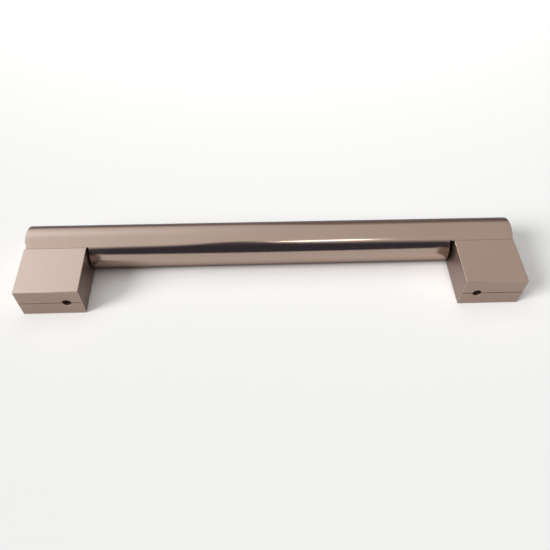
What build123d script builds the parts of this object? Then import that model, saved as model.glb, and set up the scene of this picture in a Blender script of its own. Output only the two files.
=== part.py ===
"""Cabinet pull: a round tube carried on two solid feet that slide into notches in the tube's back.

Frame, in millimetres: the origin lies midway between the two screw holes, on the plane of the mounting
faces. X runs along the bar, Y runs out from the cabinet front to the grip, Z is up as mounted level.
"""
import os
from math import radians, sqrt, tan

from build123d import *

# Screw holes and the feet around them
hole_spacing = 160.0
hole_to_end = 18.5
hole_to_inner_face = 5.9
foot_thickness = 14.2
bar_standoff = 27.75
edge_break = 0.25

# Bar
bar_diameter = 18.0
bar_wall = 1.4
bar_end_break = 0.3
notch_gap_left = 0.7
notch_gap_right = 1.6
notch_side_clearance = 0.1
kerf_width = 0.5
kerf_overcut = 0.3

# Fit of a foot to the bar
head_clearance = 0.05
head_hook = 1.05
head_lead_in = 0.4
saddle_clearance = 0.1
lip_land = 0.4
lip_break = 0.35

# Drill line and tapped hole in each mounting face, for an M4 screw
scribe_width = 0.4
scribe_depth = 0.2
thread_diameter = 4.0
thread_length = 13.0
drill_point_angle = 118.0
countersink_width = 0.15

# Positions that follow
hole_x = hole_spacing / 2
inner_x = hole_x - hole_to_inner_face
outer_x = hole_x + hole_to_end
bar_length = 2 * outer_x
foot_width = outer_x - inner_x
bar_radius = bar_diameter / 2
bore_radius = bar_radius - bar_wall
saddle_radius = bar_radius + saddle_clearance
head_radius = bore_radius - head_clearance
neck_half = head_radius - head_hook
notch_half = neck_half + notch_side_clearance
leg_half = foot_thickness / 2
leg_length = bar_standoff - sqrt(saddle_radius**2 - (leg_half - lip_land) ** 2)
neck_root = bar_standoff - saddle_radius - head_hook

os.makedirs("parts", exist_ok=True)

# Bar: a tube with rounded outer ends, notched behind each foot, with the saw kerf at each blind end
with BuildPart() as bar:
    with BuildSketch(Plane.YZ.offset(-outer_x)):
        with Locations((bar_standoff, 0)):
            Circle(bar_radius)
    extrude(amount=bar_length)
    fillet(bar.edges().filter_by(GeomType.CIRCLE), bar_end_break)
    with BuildSketch(Plane.YZ.offset(-outer_x)):
        with Locations((bar_standoff, 0)):
            Circle(bore_radius)
    extrude(amount=bar_length, mode=Mode.SUBTRACT)
    for end_side, notch_gap in ((-1, notch_gap_left), (1, notch_gap_right)):
        blind_x = inner_x - notch_gap
        with BuildSketch(Plane.YZ.offset(end_side * blind_x)):
            with Locations((bar_standoff - bar_radius, 0)):
                Rectangle(bar_diameter, 2 * notch_half)
        extrude(amount=end_side * (outer_x - blind_x), mode=Mode.SUBTRACT)
        with BuildSketch(Plane.YZ.offset(end_side * blind_x)):
            with Locations((bar_standoff - bar_radius, 0)):
                Rectangle(bar_diameter, 2 * (notch_half + kerf_overcut))
        extrude(amount=end_side * kerf_width, mode=Mode.SUBTRACT)
bar.part.label = "bar"

# Right foot: a leg with a saddle that follows the tube, a neck through the notch and a head in the bore
with BuildPart() as right_foot:
    with BuildSketch(Plane.YZ.offset(inner_x)) as leg_section:
        Rectangle(leg_length, foot_thickness, align=(Align.MIN, Align.CENTER))
        fillet(leg_section.vertices().group_by(Axis.X)[-1], lip_break)
    extrude(amount=foot_width)
    end_edges = right_foot.faces().filter_by(Axis.X).edges()
    mount_edges = right_foot.faces().sort_by(Axis.Y)[0].edges()
    fillet(end_edges + (mount_edges - end_edges), edge_break)
    with BuildSketch(Plane.YZ.offset(inner_x)):
        with Locations((bar_standoff, 0)):
            Circle(saddle_radius)
    extrude(amount=foot_width, mode=Mode.SUBTRACT)
    with BuildSketch(Plane.YZ.offset(inner_x)):
        with Locations((bar_standoff, 0)):
            Circle(head_radius)
    extrude(amount=foot_width)
    head_edges = right_foot.edges().filter_by(GeomType.CIRCLE).filter_by_position(Axis.X, inner_x, inner_x)
    chamfer(head_edges.filter_by(lambda edge: abs(edge.radius - head_radius) < head_clearance), head_lead_in)
    with BuildSketch(Plane.YZ.offset(inner_x)):
        with Locations((neck_root, 0)):
            Rectangle(bar_standoff - neck_root, 2 * neck_half, align=(Align.MIN, Align.CENTER))
    extrude(amount=foot_width)
    with BuildSketch(Plane.YZ.offset(inner_x)):
        with BuildLine():
            Polyline((0, scribe_width / 2), (scribe_depth, 0), (0, -scribe_width / 2), close=True)
        make_face()
    extrude(amount=foot_width, mode=Mode.SUBTRACT)
    thread_radius = thread_diameter / 2
    point_depth = thread_radius / tan(radians(drill_point_angle / 2))
    with BuildSketch(Plane.XY):
        with BuildLine():
            Polyline(
                (hole_x, 0),
                (hole_x + thread_radius + countersink_width, 0),
                (hole_x + thread_radius, countersink_width),
                (hole_x + thread_radius, thread_length),
                (hole_x, thread_length + point_depth),
                close=True,
            )
        make_face()
    revolve(axis=Axis((hole_x, 0, 0), (0, 1, 0)), mode=Mode.SUBTRACT)
right_foot.part.label = "right_foot"

# Left foot: the same piece, mirrored to the other end
with BuildPart() as left_foot:
    mirror(right_foot.part, about=Plane.YZ)
left_foot.part.label = "left_foot"

export_step(bar.part, "parts/bar.step")
export_step(left_foot.part, "parts/left_foot.step")
export_step(right_foot.part, "parts/right_foot.step")
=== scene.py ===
"""Straight cabinet pull: a notched round tube on two tapped feet, polished and anodised rose bronze.

The pieces are worked out in millimetres in the frame of the CAD model and put into their meshes in metres.
X runs along the bar, Y out from the cabinet front to the grip, Z across the feet's thickness.
"""

import math

import bmesh
import bpy
import numpy as np
from mathutils import Matrix, Vector


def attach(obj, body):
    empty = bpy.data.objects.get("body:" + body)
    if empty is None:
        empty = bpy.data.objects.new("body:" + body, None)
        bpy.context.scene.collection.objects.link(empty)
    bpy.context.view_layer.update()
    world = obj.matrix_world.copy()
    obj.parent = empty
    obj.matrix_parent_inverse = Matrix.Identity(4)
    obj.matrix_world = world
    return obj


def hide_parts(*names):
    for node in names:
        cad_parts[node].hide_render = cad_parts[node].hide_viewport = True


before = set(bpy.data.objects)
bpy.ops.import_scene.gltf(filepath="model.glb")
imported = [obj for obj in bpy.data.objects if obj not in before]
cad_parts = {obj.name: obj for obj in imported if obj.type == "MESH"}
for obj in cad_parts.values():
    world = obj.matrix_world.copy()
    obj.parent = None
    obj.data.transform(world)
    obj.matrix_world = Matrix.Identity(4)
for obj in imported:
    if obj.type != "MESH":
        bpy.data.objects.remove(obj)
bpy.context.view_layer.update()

MM = 0.001
TURN = 2 * math.pi
QUARTER = math.pi / 2

# Sizes of the pull, as in the solids
HOLE_X = 80.0
INNER_X = 74.1
OUTER_X = 98.5
FOOT_WIDTH = OUTER_X - INNER_X
LEG_HALF = 7.1
EDGE_BREAK = 0.25
BAR_AXIS_Y = 27.75
BAR_RADIUS = 9.0
BORE_RADIUS = 7.6
BAR_END_BREAK = 0.3
LEFT_BLIND_X = -73.4
RIGHT_BLIND_X = 72.5
NOTCH_HALF = 6.6
KERF_HALF = 6.9
KERF_WIDTH = 0.5
SADDLE_RADIUS = 9.1
LIP_LAND = 0.4
LIP_BREAK = 0.35
NECK_HALF = 6.5
HEAD_RADIUS = 7.55
HEAD_LEAD_IN = 0.4
SCRIBE_HALF = 0.2
SCRIBE_DEPTH = 0.2
THREAD_MAJOR = 2.0
HOLE_DEPTH = 13.0
DRILL_POINT = math.radians(59)

# Sizes that the solids leave plain: the cut thread and how fast it deepens, the hole's mouth, the lips' ends
MOUTH_RADIUS = 1.82
THREAD_MINOR = 1.62
THREAD_PITCH = 0.7
THREAD_END = 11.2
THREAD_LEAD = 0.5
TAP_DRILL = 1.65
BLIND_STEP = 0.4
LIP_END_BREAK = 0.15

# Width of the narrow flat that borders a rounded edge, so the wide flat beside it shades as a plane
FLAT_BORDER = 0.04

# Fineness of the meshes: points on each curve, stations along X and rows down the hole
BAR_ROUND_POINTS = 9
BAR_END_STATIONS = 12
BAR_MIDDLE_STATIONS = 73
BAR_ANGLE_STEPS = (66, 3, 48, 3, 66)
FOOT_ROUND_POINTS = 8
FOOT_STATIONS = 49
FACE_POINTS = 9
SADDLE_POINTS = 6
HEAD_POINTS = 49
THREAD_ROWS = 190
MOUTH_ROWS = 2

# Shares of the way along a foot's flat side, and from the hole's mouth out to the mounting face's border
SIDE_SHARES = (0.002, 0.25, 0.5, 0.75, 0.998, 1.0)
RING_SHARES = (0.995, 0.7, 0.4, 0.15, 0.01, 0.0)

# Points closer than this are one, and edges that turn by more than this angle stay crisp
MERGE_DISTANCE = 0.001
CRISP_ANGLE = math.radians(30)

# Points on the border of the scribed line count as in it
SCRIBE_REACH = 1.001

# Finish: the dye's two tones, the dark tone of painted shade in hollows and gaps, the drawn lines' height in
# metres, the roughness that sawing adds, and the etched grain's height as a share of the drawn lines'
ROSE = (0.425, 0.322, 0.270)
DEEP_ROSE = (0.395, 0.298, 0.250)
PAINTED_SHADE_TONE = (0.10, 0.062, 0.050)
LINE_HEIGHT = 0.15e-6
SAW_ROUGH = 0.22
GRAIN_SHARE = 0.4


def put_piece(name, points, faces, kinds, **marks):
    """Mesh object from points in millimetres and faces.

    Poles are merged and normals point outward. Each mark names a face attribute and gives its value for
    each kind of face.
    """
    mesh = bpy.data.meshes.new(name)
    mesh.from_pydata((points * MM).tolist(), [], faces)
    for mark, levels in marks.items():
        attribute = mesh.attributes.new(mark, "FLOAT", "FACE")
        attribute.data.foreach_set("value", np.array(levels, np.float32)[kinds])
    shell = bmesh.new()
    shell.from_mesh(mesh)
    bmesh.ops.remove_doubles(shell, verts=shell.verts, dist=MERGE_DISTANCE * MM)
    bmesh.ops.recalc_face_normals(shell, faces=shell.faces)
    shell.to_mesh(mesh)
    shell.free()
    mesh.polygons.foreach_set("use_smooth", np.ones(len(mesh.polygons), bool))
    mesh.set_sharp_from_angle(angle=CRISP_ANGLE)
    mesh.update()
    piece = bpy.data.objects.new(name, mesh)
    bpy.context.scene.collection.objects.link(piece)
    return piece


def used_only(points, *face_sets):
    """Points that some face uses, all the faces in one list, and the set that each face is from.

    The faces are renumbered to match the points that stay.
    """
    used = np.unique(np.concatenate([face_set.ravel() for face_set in face_sets]))
    place = np.zeros(len(points), int)
    place[used] = np.arange(len(used))
    faces = [face for face_set in face_sets for face in place[face_set].tolist()]
    kinds = np.repeat(np.arange(len(face_sets)), [len(face_set) for face_set in face_sets])
    return points[used], faces, kinds


def cells_between(rows):
    """Corners of the cells between neighbouring rows of point numbers, where each row closes on itself."""
    beside = np.roll(rows, -1, axis=1)
    return np.stack([rows[:-1], rows[1:], beside[1:], beside[:-1]], axis=-1)


def notched_tube():
    """Tube wall over a grid of stations along X and angles round the axis.

    Outside point: (x, axis - R(x) cos a, R(x) sin a), with the angle a counted from the back and R(x)
    falling by a quarter circle at the ends. Inside point: the same with the bore radius. The angles are
    spaced in five runs that break where |z| passes the notch and kerf half widths at that radius, so the
    cut walls are flat. Cells in a notch or kerf are left out, and a wall joins outside to inside along
    every open border.
    """
    turn = np.linspace(0, QUARTER, BAR_ROUND_POINTS)
    rounding = BAR_END_BREAK * (1 - np.cos(turn))
    drop = BAR_END_BREAK * (1 - np.sin(turn))
    near_end = OUTER_X - BAR_END_BREAK
    between = np.concatenate([
        np.linspace(-near_end, LEFT_BLIND_X - KERF_WIDTH, BAR_END_STATIONS)[1:],
        np.linspace(LEFT_BLIND_X, RIGHT_BLIND_X, BAR_MIDDLE_STATIONS),
        np.linspace(RIGHT_BLIND_X + KERF_WIDTH, near_end, BAR_END_STATIONS)[:-1],
    ])
    stations = np.concatenate([
        [-OUTER_X],
        rounding - OUTER_X,
        between,
        OUTER_X - rounding[::-1],
        [OUTER_X],
    ])
    end_drop = np.concatenate([[BAR_END_BREAK + FLAT_BORDER], drop])
    radius = BAR_RADIUS - np.concatenate([end_drop, 0 * between, end_drop[::-1]])[:, None]
    run = np.repeat(np.arange(len(BAR_ANGLE_STEPS)), BAR_ANGLE_STEPS)
    share = np.concatenate([np.arange(n) / n for n in BAR_ANGLE_STEPS])

    def shell(r):
        notch, kerf = np.arcsin(NOTCH_HALF / r), np.arcsin(KERF_HALF / r)
        back = 0 * r + math.pi
        breaks = np.concatenate([-back, -kerf, -notch, notch, kerf, back], axis=1)
        a = breaks[:, run] + (breaks[:, run + 1] - breaks[:, run]) * share
        x = np.broadcast_to(stations[:, None], a.shape)
        return np.stack([x, BAR_AXIS_Y - r * np.cos(a), r * np.sin(a)], axis=-1).reshape(-1, 3)

    # The middle run of angles is the notch, and the kerf also cuts the runs on both sides of it
    points = np.concatenate([shell(radius), shell(0 * radius + BORE_RADIUS)])
    middle = (stations[:-1] + stations[1:])[:, None] / 2
    past = np.maximum(LEFT_BLIND_X - middle, middle - RIGHT_BLIND_X)
    in_notch = (past > 0) & (run == 2)[None, :]
    in_kerf = (past > 0) & (past < KERF_WIDTH) & ((run > 0) & (run < 4))[None, :]
    wall = ~(in_notch | in_kerf)

    rows, columns = len(stations), len(run)
    inner = rows * columns
    index = np.arange(inner).reshape(rows, columns)
    ahead = np.roll(index, -1, axis=1)
    skin = cells_between(index)[wall]
    i, k = np.nonzero(wall != np.roll(wall, 1, axis=1))
    start, end = index[i, k], index[i + 1, k]
    long_cuts = np.stack([start, end, end + inner, start + inner], axis=-1)
    padded = np.pad(wall, ((1, 1), (0, 0)))
    i, k = np.nonzero(padded[1:] != padded[:-1])
    start, end = index[i, k], ahead[i, k]
    cross_cuts = np.stack([start, end, end + inner, start + inner], axis=-1)
    return used_only(points, skin, skin + inner, long_cuts, cross_cuts)


def foot_outline(inset, head_radius):
    """Section of a foot in (y, z), one row for each station along X, closed and even about z = 0.

    It runs from the scribed line's bottom up the mounting face (y = inset), round the edge by an arc,
    along the flat side (z = half thickness - inset), round the lip by an arc, down the saddle arc about
    the bar axis, along the neck and half way round the head. The lower half is the mirror image. Also
    gives the places where the mounting face ends and where the saddle, from the middle of the lip, starts
    and ends.
    """
    inset, head_radius = inset[:, None], head_radius[:, None]
    corner = np.clip(EDGE_BREAK - inset, 0, None)
    corner_in = inset + corner
    scribe_z = SCRIBE_HALF * np.clip(1 - inset / SCRIBE_DEPTH, 0, None)
    flat_z = scribe_z + (LEG_HALF - corner_in - scribe_z) * np.linspace(0, 1, FACE_POINTS)[None, 1:]
    bend = np.linspace(0, QUARTER, FOOT_ROUND_POINTS)[None, 1:]
    lip = LIP_BREAK - inset
    saddle_depth = np.sqrt(SADDLE_RADIUS**2 - (LEG_HALF - LIP_LAND) ** 2) + np.minimum(inset, LIP_END_BREAK)
    lip_start = BAR_AXIS_Y - saddle_depth - lip
    along = np.array([SIDE_SHARES])
    saddle_top = np.sqrt(SADDLE_RADIUS**2 - saddle_depth**2)
    saddle_z = saddle_top + (NECK_HALF - saddle_top) * np.linspace(0, 1, SADDLE_POINTS)[None, :]
    start = np.arcsin(NECK_HALF / head_radius)
    sweep = start + (math.pi - start) * np.linspace(0, 1, HEAD_POINTS)[None, :]
    y = np.concatenate([
        np.maximum(SCRIBE_DEPTH, inset),
        inset,
        inset + 0 * flat_z,
        corner_in - corner * np.cos(bend),
        corner_in + (lip_start - corner_in) * along,
        lip_start + lip * np.sin(bend),
        BAR_AXIS_Y - np.sqrt(SADDLE_RADIUS**2 - saddle_z**2),
        BAR_AXIS_Y - head_radius * np.cos(sweep),
    ], axis=1)
    z = np.concatenate([
        0 * inset,
        scribe_z,
        flat_z,
        LEG_HALF - corner_in + corner * np.sin(bend),
        LEG_HALF - inset + 0 * along,
        LEG_HALF - inset - lip * (1 - np.cos(bend)),
        saddle_z,
        head_radius * np.sin(sweep),
    ], axis=1)
    y = np.concatenate([y, y[:, -2:0:-1]], axis=1)
    z = np.concatenate([z, -z[:, -2:0:-1]], axis=1)
    flat_end = 1 + flat_z.shape[1]
    saddle_start = flat_end + bend.size + along.size + bend.size // 2
    saddle_end = flat_end + 2 * bend.size + along.size + saddle_z.shape[1]
    return y, z, flat_end, saddle_start, saddle_end


def thread_radius(depth, angle, side):
    """Radius of the tapped wall, a right-hand helix.

    A crest flat, 60 degree flanks and a root flat repeat every pitch. The distance from a crest is
    |fraction of (depth / pitch + angle / turn) - 1/2| times the pitch. Past the last full thread the wall
    runs out to the tap drill's radius.
    """
    phase = np.mod(depth / THREAD_PITCH + side * angle / TURN, 1.0)
    from_crest = np.abs(phase - 0.5) * THREAD_PITCH
    crest_end, root_start = THREAD_PITCH / 8, THREAD_PITCH * 7 / 16
    ridge = np.interp(from_crest, [crest_end, root_start], [THREAD_MINOR, THREAD_MAJOR])
    return ridge + (TAP_DRILL - ridge) * np.clip((depth - THREAD_END) / THREAD_PITCH, 0, 1)


def tapped_foot(side):
    """Foot at one end: the outline carried along X, with a tapped hole in the mounting face.

    Stations s run from the inner face to the outer end, X = side * (inner face + s). Near each end the
    outline is inset by a quarter circle, and the head tapers at the inner end. Inside the rounded border
    the mounting face is a ruled ring from that border to the mouth of the hole. The hole's wall is
    (r cos a, r sin a) about its axis, where r is the larger of the countersink's cone and the thread,
    which deepens from the mouth.
    """
    turn = np.linspace(0, QUARTER, FOOT_ROUND_POINTS)
    rounding = EDGE_BREAK * (1 - np.cos(turn))
    end_inset = EDGE_BREAK * (1 - np.sin(turn))
    middle = np.linspace(HEAD_LEAD_IN, FOOT_WIDTH - HEAD_LEAD_IN, FOOT_STATIONS)
    s = np.concatenate([[0], rounding, middle, FOOT_WIDTH - rounding[::-1], [FOOT_WIDTH]])
    end_inset = np.concatenate([[EDGE_BREAK + FLAT_BORDER], end_inset])
    inset = np.concatenate([end_inset, 0 * middle, end_inset[::-1]])
    head_radius = HEAD_RADIUS - np.clip(HEAD_LEAD_IN - s, 0, None)
    y, z, flat_end, saddle_start, saddle_end = foot_outline(inset, head_radius)
    count, ring = y.shape
    body = np.stack([np.broadcast_to(s[:, None], y.shape), y, z], axis=-1).reshape(-1, 3)
    index = np.arange(count * ring).reshape(count, ring)
    first, last = len(turn), count - 1 - len(turn)
    cell_i, cell_p = np.arange(count - 1)[:, None], np.arange(ring)[None, :]
    on_face = (cell_i >= first) & (cell_i < last) & ((cell_p < flat_end) | (cell_p >= ring - flat_end))
    cells = cells_between(index)
    from_front = np.minimum(cell_p, ring - 1 - cell_p) + 0 * cell_i
    in_saddle = (from_front >= saddle_start) & (from_front <= saddle_end)
    skin, saddle = cells[~on_face & ~in_saddle], cells[in_saddle]

    # Border of the mounting face, once round, and the matching points on the mouth of the hole
    across = np.arange(-flat_end, flat_end + 1) % ring
    inward = np.arange(last - 1, first, -1)
    border = np.concatenate([
        index[last, across],
        index[inward, flat_end],
        index[first, across[::-1]],
        index[inward[::-1], ring - flat_end],
    ])
    edge = body[border]
    hole_s = HOLE_X - INNER_X
    off, up = edge[:, 0] - hole_s, edge[:, 2]
    height = np.abs(up)
    bearing = np.arctan2(height, off)
    outer_bearing = math.atan2(SCRIBE_HALF, s[last] - hole_s)
    inner_bearing = math.atan2(SCRIBE_HALF, s[first] - hole_s)
    gap = math.asin(SCRIBE_HALF / MOUTH_RADIUS)
    spread = (math.pi - 2 * gap) / (inner_bearing - outer_bearing)
    dip = SCRIBE_DEPTH * np.clip(1 - height / SCRIBE_HALF, 0, 1)
    mouth = MOUTH_RADIUS - dip
    in_scribe = np.arcsin(np.clip(height / mouth, 0, 1))
    in_scribe = np.where(off > 0, in_scribe, math.pi - in_scribe)
    scribed = height < SCRIBE_REACH * SCRIBE_HALF
    angle = np.where(scribed, in_scribe, gap + (bearing - outer_bearing) * spread)
    angle = np.where(up < 0, -angle, angle)
    rim = np.stack([hole_s + mouth * np.cos(angle), dip, mouth * np.sin(angle)], axis=-1)
    face = rim + (edge - rim) * np.array(RING_SHARES)[:, None, None]

    # Wall of the hole from the mouth down to the drill point
    thread_bottom = THREAD_END + THREAD_PITCH
    depth = dip + (thread_bottom - dip) * np.linspace(0, 1, THREAD_ROWS)[1:, None]
    lead = np.minimum(thread_radius(depth, angle, side), TAP_DRILL + THREAD_LEAD * depth)
    wall = np.maximum(lead, MOUTH_RADIUS - depth)
    tip = HOLE_DEPTH + TAP_DRILL / math.tan(DRILL_POINT)
    blind_depth = np.array([[HOLE_DEPTH - BLIND_STEP], [HOLE_DEPTH], [(HOLE_DEPTH + tip) / 2]])
    blind_wall = np.array([[TAP_DRILL], [TAP_DRILL], [TAP_DRILL / 2]])
    depth = np.concatenate([depth, blind_depth + 0 * angle])
    wall = np.concatenate([wall, blind_wall + 0 * angle])
    bore = np.stack([hole_s + wall * np.cos(angle), depth, wall * np.sin(angle)], axis=-1)

    # Faces from the border to the drill point, where the hole's first rows belong to the mounting face
    n = len(border)
    lining = np.concatenate([face, bore])
    lining_index = len(body) + np.arange(len(lining) * n).reshape(-1, n)
    points = np.concatenate([body, lining.reshape(-1, 3), [[hole_s, tip, 0]]])
    rows = np.concatenate([border[None], lining_index])
    ruled = cells_between(rows)
    mouth_end = len(face) + MOUTH_ROWS
    scribed &= np.roll(scribed, -1)
    mount = ruled[:mouth_end, ~scribed].reshape(-1, 4)
    scribe = ruled[:mouth_end, scribed].reshape(-1, 4)
    thread = ruled[mouth_end:].reshape(-1, 4)
    drill_point = np.stack([rows[-1], np.full(n, len(points) - 1), np.roll(rows[-1], -1)], axis=-1)
    points = (points + [INNER_X, 0, 0]) * [side, 1, 1]
    return used_only(points, skin, mount, thread, drill_point, index[[0, -1]], saddle, scribe)


def join(tree, source, target):
    """Link from one node's output to another node's input."""
    tree.links.new(source, target)


def set_values(node, **values):
    """Values of a node's inputs by name, with _ for a space."""
    for name, value in values.items():
        node.inputs[name.replace("_", " ")].default_value = value


def shader_group(name, inputs, outputs):
    """Shader node group with named sockets, and its input and output nodes."""
    group = bpy.data.node_groups.new(name, "ShaderNodeTree")
    for in_out, sockets in (("INPUT", inputs), ("OUTPUT", outputs)):
        for socket, kind in sockets.items():
            group.interface.new_socket(socket, in_out=in_out, socket_type="NodeSocket" + kind)
    return group, group.nodes.new("NodeGroupInput"), group.nodes.new("NodeGroupOutput")


def drawn_lines_group():
    """Fine lines left by drawing and polishing along X.

    Noise stretched far along X, once as a fine height and once as broad streaks.
    """
    heights = {"Fine": "Float", "Broad": "Float"}
    group, given, result = shader_group("drawn_lines", {"Vector": "Vector"}, heights)
    nodes = group.nodes
    for name, stretch in (("Fine", (18, 5200, 5200)), ("Broad", (7, 900, 900))):
        place, noise = nodes.new("ShaderNodeMapping"), nodes.new("ShaderNodeTexNoise")
        set_values(place, Scale=stretch)
        set_values(noise, Scale=1.0, Detail=3.0, Roughness=0.6)
        join(group, given.outputs["Vector"], place.inputs["Vector"])
        join(group, place.outputs["Vector"], noise.inputs["Vector"])
        join(group, noise.outputs["Fac"], result.inputs[name])
    return group


def anodised_tone_group():
    """Slow drift of the dye's tone between two colours, by noise, and a fine grain from the etched skin."""
    group, given, result = shader_group(
        "anodised_tone",
        {"Vector": "Vector", "Light": "Color", "Deep": "Color"},
        {"Color": "Color", "Grain": "Float"},
    )
    nodes = group.nodes
    drift, grain = nodes.new("ShaderNodeTexNoise"), nodes.new("ShaderNodeTexNoise")
    set_values(drift, Scale=55.0, Detail=3.0, Roughness=0.55)
    set_values(grain, Scale=9000.0, Detail=2.0, Roughness=0.5)
    mix = nodes.new("ShaderNodeMix")
    mix.data_type = "RGBA"
    for noise in (drift, grain):
        join(group, given.outputs["Vector"], noise.inputs["Vector"])
    join(group, drift.outputs["Fac"], mix.inputs["Factor"])
    join(group, given.outputs["Light"], mix.inputs["A"])
    join(group, given.outputs["Deep"], mix.inputs["B"])
    join(group, mix.outputs["Result"], result.inputs["Color"])
    join(group, grain.outputs["Fac"], result.inputs["Grain"])
    return group


def saw_marks_group():
    """Arcs left by a saw blade on a cut across X: rings about a far centre, broken up by noise."""
    group, given, result = shader_group("saw_marks", {"Vector": "Vector"}, {"Height": "Float"})
    nodes = group.nodes
    place, rings = nodes.new("ShaderNodeMapping"), nodes.new("ShaderNodeTexWave")
    set_values(place, Location=(0, 0.02, 0.14))
    rings.wave_type = "RINGS"
    rings.rings_direction = "X"
    set_values(rings, Scale=420.0, Distortion=6.0, Detail=3.0, Detail_Scale=2.0, Detail_Roughness=0.6)
    join(group, given.outputs["Vector"], place.inputs["Vector"])
    join(group, place.outputs["Vector"], rings.inputs["Vector"])
    join(group, rings.outputs["Fac"], result.inputs["Height"])
    return group


drawn_lines = drawn_lines_group()
anodised_tone = anodised_tone_group()
saw_marks = saw_marks_group()


def anodised_metal(name, slant, gloss, tap_rough):
    """Polished aluminium with a dyed oxide skin: tone drift in the colour, drawn lines in gloss and bump.

    The dye takes up more light at a slant, so the tint at grazing angles is darker. Roughness runs between
    the two values of gloss with the broad lines. It rises on sawn faces, more in the saw marks, and by
    tap_rough where the painted shade is. The tube's bore, the holes' walls, the saddles and the scribed
    lines are painted in a dark tone that stands in for the shade in these hollows and gaps, and the milled
    mounting faces get a little of that painted shade.
    """
    material = bpy.data.materials.new(name)
    material.use_nodes = True
    tree = material.node_tree
    nodes = tree.nodes
    shader = nodes["Principled BSDF"]
    set_values(shader, Metallic=1.0, Specular_Tint=(*slant, 1))
    where = nodes.new("ShaderNodeTexCoord")
    lines, tone, marks = (nodes.new("ShaderNodeGroup") for _ in range(3))
    lines.node_tree, tone.node_tree, marks.node_tree = drawn_lines, anodised_tone, saw_marks
    set_values(tone, Light=(*ROSE, 1), Deep=(*DEEP_ROSE, 1))
    for group in (lines, tone, marks):
        join(tree, where.outputs["Object"], group.inputs["Vector"])
    sawn, bored = nodes.new("ShaderNodeAttribute"), nodes.new("ShaderNodeAttribute")
    sawn.attribute_name, bored.attribute_name = "sawn", "bored"
    # Painted shade: the marked hollows, gaps and mounting faces are mixed toward a dark tone in place of
    # their shade
    painted_shade_mix = nodes.new("ShaderNodeMix")
    painted_shade_mix.data_type = "RGBA"
    painted_shade_mix.inputs["B"].default_value = (*PAINTED_SHADE_TONE, 1)
    join(tree, bored.outputs["Fac"], painted_shade_mix.inputs["Factor"])
    join(tree, tone.outputs["Color"], painted_shade_mix.inputs["A"])
    join(tree, painted_shade_mix.outputs["Result"], shader.inputs["Base Color"])

    def scaled_sum(value, factor, base):
        """Value times factor plus base, where the factor is a number or another node's output."""
        node = nodes.new("ShaderNodeMath")
        node.operation = "MULTIPLY_ADD"
        join(tree, value, node.inputs[0])
        if isinstance(factor, float):
            node.inputs[1].default_value = factor
        else:
            join(tree, factor, node.inputs[1])
        join(tree, base, node.inputs[2])
        return node.outputs["Value"]

    shine, saw_gloss = nodes.new("ShaderNodeMapRange"), nodes.new("ShaderNodeMapRange")
    set_values(shine, From_Min=0.3, From_Max=0.7, To_Min=gloss[0], To_Max=gloss[1])
    set_values(saw_gloss, To_Min=0.7 * SAW_ROUGH, To_Max=1.3 * SAW_ROUGH)
    join(tree, lines.outputs["Broad"], shine.inputs["Value"])
    join(tree, marks.outputs["Height"], saw_gloss.inputs["Value"])
    after_saw = scaled_sum(sawn.outputs["Fac"], saw_gloss.outputs["Result"], shine.outputs["Result"])
    join(tree, scaled_sum(bored.outputs["Fac"], tap_rough, after_saw), shader.inputs["Roughness"])
    skin = scaled_sum(tone.outputs["Grain"], GRAIN_SHARE, lines.outputs["Fine"])
    bump = nodes.new("ShaderNodeBump")
    set_values(bump, Strength=1.0, Distance=LINE_HEIGHT)
    join(tree, scaled_sum(sawn.outputs["Fac"], marks.outputs["Height"], skin), bump.inputs["Height"])
    join(tree, bump.outputs["Normal"], shader.inputs["Normal"])
    return material


bar_metal = anodised_metal("bar_anodised", slant=(0.24, 0.26, 0.32), gloss=(0.12, 0.17), tap_rough=0.10)
foot_metal = anodised_metal("foot_anodised", slant=(0.46, 0.49, 0.56), gloss=(0.13, 0.19), tap_rough=0.0)

# Kinds of face on the bar: outside, bore, cuts along X, cuts across X
# The bore is darkened with painted shade and made rougher
bar = put_piece("bar_tube", *notched_tube(), bored=(0, 1, 0, 0), sawn=(0, 0, 1, 1))

# Kinds of face on a foot: skin, mounting face, thread, drill point, ends, saddle, scribed line
# Painted shade darkens the thread, drill point, saddle and scribed line fully and the mounting face a little
foot_marks = {"bored": (0, 0.15, 1, 1, 0, 1, 1), "sawn": (0, 0, 0, 0, 1, 0, 0)}
left_foot = put_piece("foot_left", *tapped_foot(-1), **foot_marks)
right_foot = put_piece("foot_right", *tapped_foot(1), **foot_marks)

for piece, node, slot, metal in (
    (bar, "bar", "bar_finish", bar_metal),
    (left_foot, "left_foot", "foot_finish", foot_metal),
    (right_foot, "right_foot", "foot_finish", foot_metal),
):
    piece.data.materials.append(metal)
    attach(piece, "root")
    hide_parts(node)


def stage_piece(name, points, faces, material):
    """Mesh of the stage, not part of the pull."""
    mesh = bpy.data.meshes.new(name)
    mesh.from_pydata(points, [], faces)
    mesh.materials.append(material)
    piece = bpy.data.objects.new(name, mesh)
    bpy.context.scene.collection.objects.link(piece)
    return piece


def matt(name, colour):
    """Matt surface of one colour, for the stage."""
    material = bpy.data.materials.new(name)
    material.use_nodes = True
    shader = material.node_tree.nodes["Principled BSDF"]
    set_values(shader, Base_Color=(*colour, 1), Roughness=1.0, Specular_IOR_Level=0.0)
    return material


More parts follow.
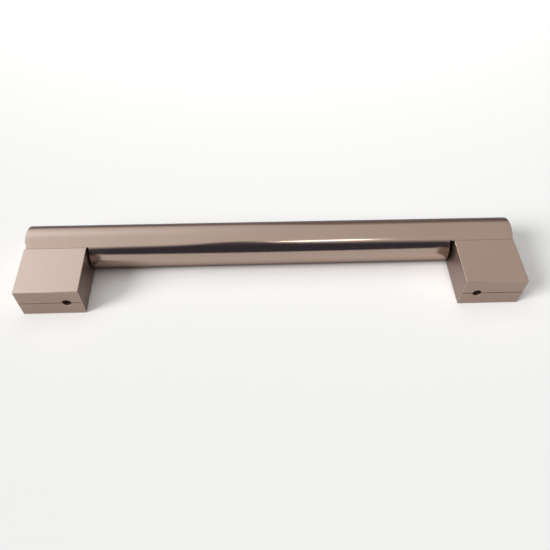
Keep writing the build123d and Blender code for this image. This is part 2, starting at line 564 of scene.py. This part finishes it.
def covered_glow(name, shade):
    """Even glow of one shade, as far as the cover attribute goes, and clear beyond it. The cards that paint
    reflections glow with it, though they are no lamps.
    """
    material = bpy.data.materials.new(name)
    material.use_nodes = True
    tree = material.node_tree
    tree.nodes.remove(tree.nodes["Principled BSDF"])
    clear = tree.nodes.new("ShaderNodeBsdfTransparent")
    glow = tree.nodes.new("ShaderNodeEmission")
    blend = tree.nodes.new("ShaderNodeMixShader")
    reading = tree.nodes.new("ShaderNodeAttribute")
    reading.attribute_name = "cover"
    set_values(glow, Color=(*shade, 1))
    join(tree, reading.outputs["Fac"], blend.inputs["Fac"])
    join(tree, clear.outputs["BSDF"], blend.inputs[1])
    join(tree, glow.outputs["Emission"], blend.inputs[2])
    join(tree, blend.outputs["Shader"], tree.nodes["Material Output"].inputs["Surface"])
    return material


def smooth_step(distance, fade):
    """Rises from 0 to 1 as the distance goes from -fade to fade: 3 s^2 - 2 s^3 of the share s of that way."""
    step = np.clip(distance / (2 * fade) + 0.5, 0, 1)
    return step * step * (3 - 2 * step)


def fading_card(name, half, bottom, top, y, shade, cover):
    """Upright card with soft edges: points (-half .. half, y, bottom .. top) on a grid, in metres.

    It is covered as cover(x, z) says. It paints a reflection: it is seen in reflections only, the camera
    doesn't see it, it casts no shadow and the floor takes no light from it.
    """
    columns, rows = 161, 121
    x, z = np.meshgrid(np.linspace(-half, half, columns), np.linspace(bottom, top, rows), indexing="ij")
    index = np.arange(x.size).reshape(x.shape)
    corners = [index[:-1, :-1], index[1:, :-1], index[1:, 1:], index[:-1, 1:]]
    quads = np.stack(corners, axis=-1).reshape(-1, 4)
    points = np.stack([x, 0 * x + y, z], axis=-1).reshape(-1, 3)
    card = stage_piece(name, points.tolist(), quads.tolist(), covered_glow(name, shade))
    covering = cover(x, z).ravel().astype(np.float32)
    card.data.attributes.new("cover", "FLOAT", "POINT").data.foreach_set("value", covering)
    card.visible_camera = False
    card.visible_shadow = False
    card.visible_diffuse = False


def gap_cover(x, z):
    """Band of painted reflection across the finger gap, seen dark in the tube, that ends just above the feet.

    Its lower border is a shallow parabola between the feet and level above them. Its upper border is a
    parabola that falls to both sides, with a bell-shaped rise left of the middle. Borders and ends fade.
    """
    foot_start, band_end = 0.0738, 0.0838
    low = np.where(np.abs(x) < foot_start, 0.0052 + 0.34 * x**2, 0.0085)
    top = 0.0342 - 0.8 * x**2 + 0.0182 * np.exp(-(((x + 0.0150) / 0.0176) ** 2))
    ends = smooth_step(band_end - np.abs(x), 0.0012)
    return smooth_step(z - low, 0.0007) * smooth_step(top - z, 0.0088) * ends


def far_cover(x, z):
    """Low band with a soft upper border, whose height steps up just right of the middle."""
    places = (-0.22, -0.12, -0.01, 0.065, 0.12, 0.25)
    heights = (0.041, 0.054, 0.060, 0.150, 0.150, 0.136)
    return smooth_step(np.interp(x, places, heights) - z, 0.06)


def lamp(name, kind, energy, place, aim=(0, 0, 0), **values):
    """Lamp at a place, turned toward its aim."""
    light = bpy.data.lights.new(name, kind)
    light.energy = energy
    for key, value in values.items():
        setattr(light, key, value)
    holder = bpy.data.objects.new(name, light)
    holder.location = place
    holder.rotation_euler = (Vector(aim) - holder.location).to_track_quat("-Z", "Y").to_euler()
    bpy.context.scene.collection.objects.link(holder)
    return holder


# The pull lies on its side: the floor touches the feet's near edges and the tube, but for a hair's gap
reach = math.hypot(LEG_HALF, BAR_AXIS_Y)
floor_tilt = math.atan2(BAR_AXIS_Y, LEG_HALF) - math.acos(BAR_RADIUS / reach)
slope = -math.tan(floor_tilt)
floor_gap = 0.02
floor_z = (-LEG_HALF - floor_gap) * MM
floor_half = 4.0
corners = [(-1, -1), (1, -1), (1, 1), (-1, 1)]
floor_points = [(floor_half * x, floor_half * y, floor_z + floor_half * y * slope) for x, y in corners]
stage_piece("floor", floor_points, [(0, 1, 2, 3)], matt("floor", (0.90, 0.895, 0.885)))

# Painted reflections, seen only in the metal: a dark card at the front of the finger gap and a dim glowing
# card low beyond the bar, in place of the room's dark sides
dark_reflection_tone, dim_reflection_tone = (0.070, 0.069, 0.096), (0.40, 0.355, 0.335)
fading_card("gap_painted_reflection", half=0.086, bottom=0.002, top=0.075, y=-0.001, shade=dark_reflection_tone, cover=gap_cover)
fading_card("far_painted_reflection", half=0.5, bottom=-0.05, top=0.25, y=0.33, shade=dim_reflection_tone, cover=far_cover)

# Broad soft key low on the left, a lamp over the floor beyond the bar that the metal doesn't show, and a
# small bright strip above the camera's side
key_bearing, key_height = math.radians(204), math.radians(33)
key_place = (
    math.cos(key_height) * math.cos(key_bearing),
    math.cos(key_height) * math.sin(key_bearing),
    math.sin(key_height),
)
lamp("key", "SUN", 2.86, key_place, angle=math.radians(28))
back_place, back_aim = (0, 0.45, 0.5), (0, 0.45, 0)
back = lamp("back", "AREA", 0.35, back_place, back_aim, shape="DISK", size=0.25, spread=math.radians(90))
back.visible_glossy = False
strip_place, strip_aim = (0.10, -0.30, 0.536), (0.02, 0.028, 0)
lamp("strip", "AREA", 0.11, strip_place, strip_aim, shape="RECTANGLE", size=0.13, size_y=0.035)

# Soft room light: brighter and cooler on the left, warmer on the right, with a glow at the upper left
# beyond the bar. Matt surfaces get it from overhead; the camera and the metal see it all round.
room_tones = (
    (0.0, (1.50, 1.57, 1.58)),
    (0.26, (1.17, 1.19, 1.19)),
    (0.5, (1.00, 0.98, 0.98)),
    (0.8, (0.86, 0.835, 0.81)),
    (1.0, (0.83, 0.805, 0.76)),
)
glow_toward = Vector((-0.48, 0.58, 0.66)).normalized()
glow_colour = (0.42, 0.51, 0.57)
glow_power = 18
world = bpy.data.worlds.new("studio")
world.use_nodes = True
world.cycles.sampling_method = "NONE"
bpy.context.scene.world = world
sky = world.node_tree
background = sky.nodes["Background"]
facing = sky.nodes.new("ShaderNodeTexCoord")
split = sky.nodes.new("ShaderNodeSeparateXYZ")
ramp = sky.nodes.new("ShaderNodeValToRGB")
ray = sky.nodes.new("ShaderNodeLightPath")
spread, overhead, strength = (sky.nodes.new("ShaderNodeMapRange") for _ in range(3))
toward, glow, total = (sky.nodes.new("ShaderNodeVectorMath") for _ in range(3))
lobe, seen, all_seen = (sky.nodes.new("ShaderNodeMath") for _ in range(3))
set_values(spread, From_Min=-0.5, From_Max=0.5)
while len(ramp.color_ramp.elements) < len(room_tones):
    ramp.color_ramp.elements.new(0.5)
for element, (place, colour) in zip(ramp.color_ramp.elements, room_tones):
    element.position = place
    element.color = (*colour, 1)
toward.operation = "DOT_PRODUCT"
toward.inputs[1].default_value = glow_toward
lobe.operation = "POWER"
lobe.use_clamp = True
lobe.inputs[1].default_value = glow_power
glow.operation = "SCALE"
glow.inputs[0].default_value = glow_colour
total.operation = "ADD"
seen.operation = all_seen.operation = "ADD"
overhead.interpolation_type = "SMOOTHSTEP"
set_values(overhead, From_Min=0.6, From_Max=0.95, To_Min=0.03, To_Max=1.07)
join(sky, facing.outputs["Generated"], split.inputs["Vector"])
join(sky, split.outputs["X"], spread.inputs["Value"])
join(sky, split.outputs["Z"], overhead.inputs["Value"])
join(sky, spread.outputs["Result"], ramp.inputs["Fac"])
join(sky, facing.outputs["Generated"], toward.inputs[0])
join(sky, toward.outputs["Value"], lobe.inputs[0])
join(sky, lobe.outputs["Value"], glow.inputs["Scale"])
join(sky, ramp.outputs["Color"], total.inputs[0])
join(sky, glow.outputs["Vector"], total.inputs[1])
join(sky, total.outputs["Vector"], background.inputs["Color"])
join(sky, ray.outputs["Is Camera Ray"], seen.inputs[0])
join(sky, ray.outputs["Is Glossy Ray"], seen.inputs[1])
join(sky, seen.outputs["Value"], all_seen.inputs[0])
join(sky, ray.outputs["Is Transmission Ray"], all_seen.inputs[1])
join(sky, all_seen.outputs["Value"], strength.inputs["Value"])
join(sky, overhead.outputs["Result"], strength.inputs["To Min"])
join(sky, strength.outputs["Result"], background.inputs["Strength"])

# Camera of the photograph: place in metres, bearing, downward angle and roll, and focal length in pixels
camera_place = (-0.00773, -0.12733, 0.18517)
bearing, down, roll = (math.radians(angle) for angle in (3.48, 53.16, 1.50))
focal_pixels, picture_width = 576.4, 550
sensor_width = 36
ahead = Vector((math.cos(down) * math.sin(bearing), math.cos(down) * math.cos(bearing), -math.sin(down)))
level = Vector((math.cos(bearing), -math.sin(bearing), 0))
upright = level.cross(ahead)
right = math.cos(roll) * level + math.sin(roll) * upright
above = math.cos(roll) * upright - math.sin(roll) * level
lens = bpy.data.cameras.new("camera")
lens.sensor_width = sensor_width
lens.lens = sensor_width * focal_pixels / picture_width
lens.clip_start = 0.01
camera = bpy.data.objects.new("camera", lens)
camera_turn = Matrix((right, above, -ahead)).transposed().to_4x4()
camera.matrix_world = Matrix.Translation(camera_place) @ camera_turn
bpy.context.scene.collection.objects.link(camera)
bpy.context.scene.camera = camera
bpy.context.scene.view_settings.view_transform = "Standard"
